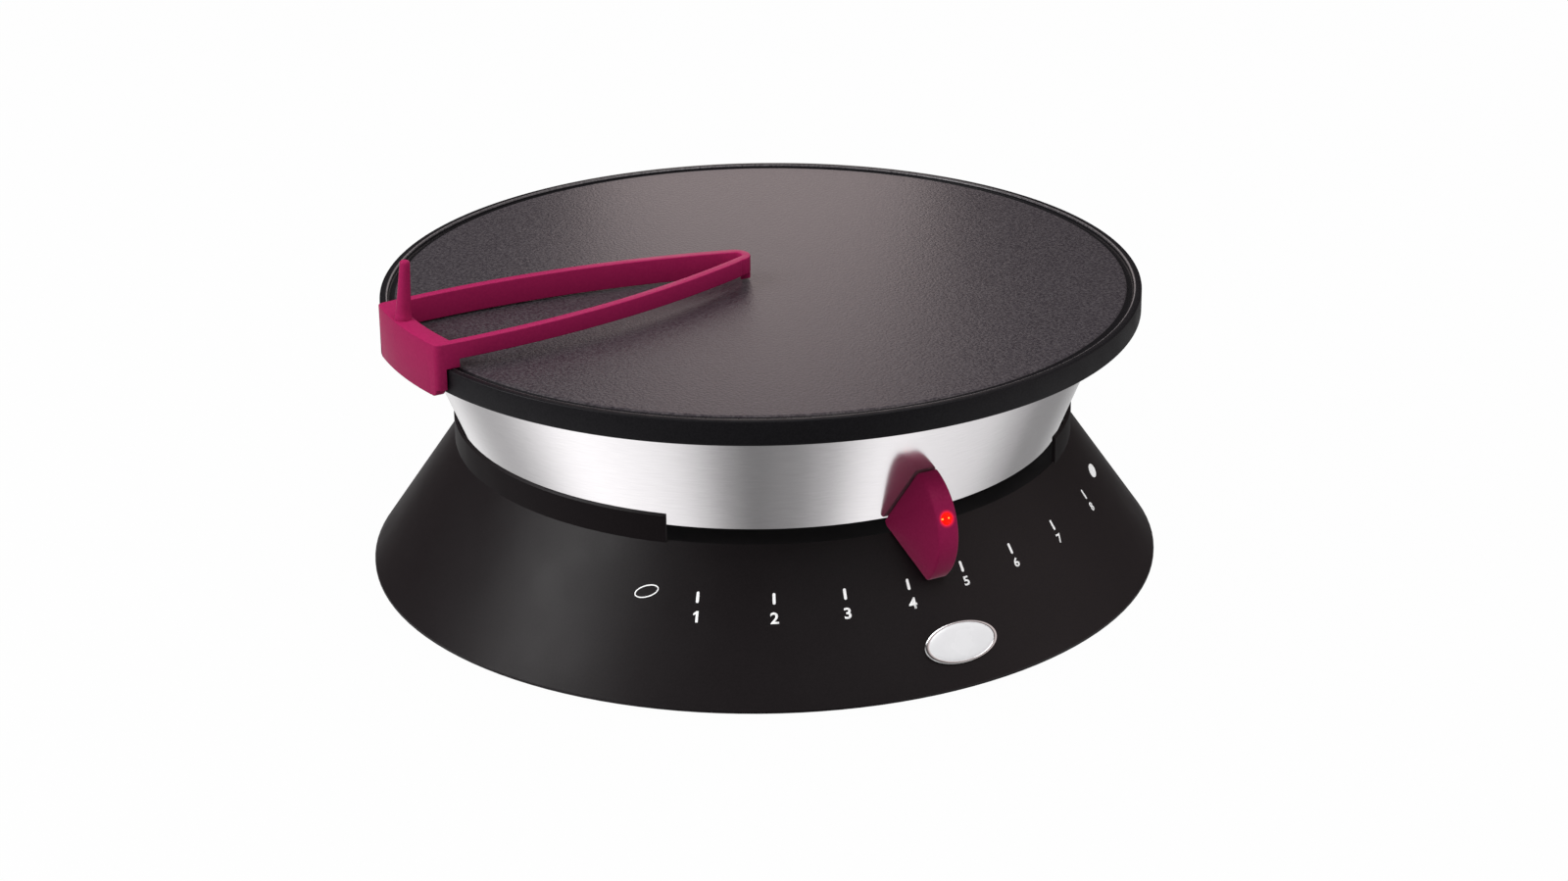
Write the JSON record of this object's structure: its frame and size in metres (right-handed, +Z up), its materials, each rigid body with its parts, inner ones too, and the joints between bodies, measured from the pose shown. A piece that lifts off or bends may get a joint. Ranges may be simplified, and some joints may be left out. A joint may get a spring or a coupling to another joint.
{
  "type": "electric crepe maker",
  "caption": "Electric crepe maker: round non-stick plate on a polished steel drum, flared black base with a sliding heat control, and a hooked trough spreader that sweeps the plate.",
  "frame": {"origin": "on the table under the middle of the plate, at the level of the feet's undersides", "axes": "+Z up along the axis of plate and base; -Y is the front, where the badge is and the heat control rests; the spreader rests pointing along -X"},
  "size_m": [0.3706, 0.3706, 0.1744],
  "materials": {
    "black_plastic": "satin moulded",
    "cover_plastic": "matt moulded",
    "foot_rubber": "matt",
    "screw_steel": "zinc plated",
    "badge_enamel": "pale, low dome, bare",
    "ceramic": "unglazed ceramic",
    "copper": "drawn copper",
    "polished_steel": "polished",
    "sheet_steel": "plain rolled",
    "nonstick_aluminium": "satin non-stick coat with a fine speckle",
    "element_steel": "heat-stained",
    "insulation": "glass fibre",
    "brass": "plain",
    "lead_brown": "satin sleeve",
    "lead_blue": "satin sleeve",
    "lead_white": "satin sleeve",
    "lead_green": "satin sleeve",
    "burgundy_plastic": "satin moulded",
    "spreader_plastic": "satin moulded",
    "red_lens": "clear red, lit",
    "lamp_glass": "lit"
  },
  "bodies": {
    "casing": {"base_shell": "black_plastic", "bottom_cover": "cover_plastic", "rubber_feet": "foot_rubber", "cover_screws": "screw_steel", "cable_gland": "foot_rubber", "badge_plate": "badge_enamel", "terminal_block": "ceramic", "thermostat_body": "ceramic", "thermostat_screws": "screw_steel", "capillary_sensor": "copper", "steel_drum": "polished_steel", "drum_floor": "sheet_steel", "drum_screws": "screw_steel", "drum_nuts": "screw_steel", "griddle_plate": "nonstick_aluminium", "heating_element": "element_steel", "element_terminals": "ceramic", "clamp_plate": "sheet_steel", "insulation_pad": "insulation", "heat_shield": "sheet_steel", "plate_studs": "screw_steel", "clamp_nuts": "screw_steel", "floor_nuts": "screw_steel", "sensor_clip": "sheet_steel", "thermal_cutout": "cover_plastic", "sensor_screws": "screw_steel", "lead_grommets": "foot_rubber", "earth_tag": "brass", "earth_screw": "brass", "supply_lead": "lead_brown", "live_lead": "lead_brown", "neutral_lead": "lead_blue", "link_lead": "lead_white", "earth_lead": "lead_green"},
    "heat_control": {"control_knob": "burgundy_plastic", "indicator_lens": "red_lens", "indicator_lamp": "lamp_glass", "lamp_lead": "lead_white", "control_arm": "sheet_steel", "control_hub": "ceramic", "arm_rivets": "screw_steel", "hub_set_screw": "screw_steel", "thermostat_spindle": "screw_steel"},
    "spreader": {"spreader": "spreader_plastic"}
  },
  "joints": [
    {"name": "heat_control_swing", "type": "hinge", "parent": "casing", "child": "heat_control", "pos_m": [0, 0, 0.0677], "axis": [0, 0, 1], "range_deg": [-38.6, 31.8]},
    {"name": "spreader_sweep", "type": "hinge", "parent": "casing", "child": "spreader", "pos_m": [0, 0, 0.1357], "axis": [0, 0, 1], "continuous": true}
  ]
}
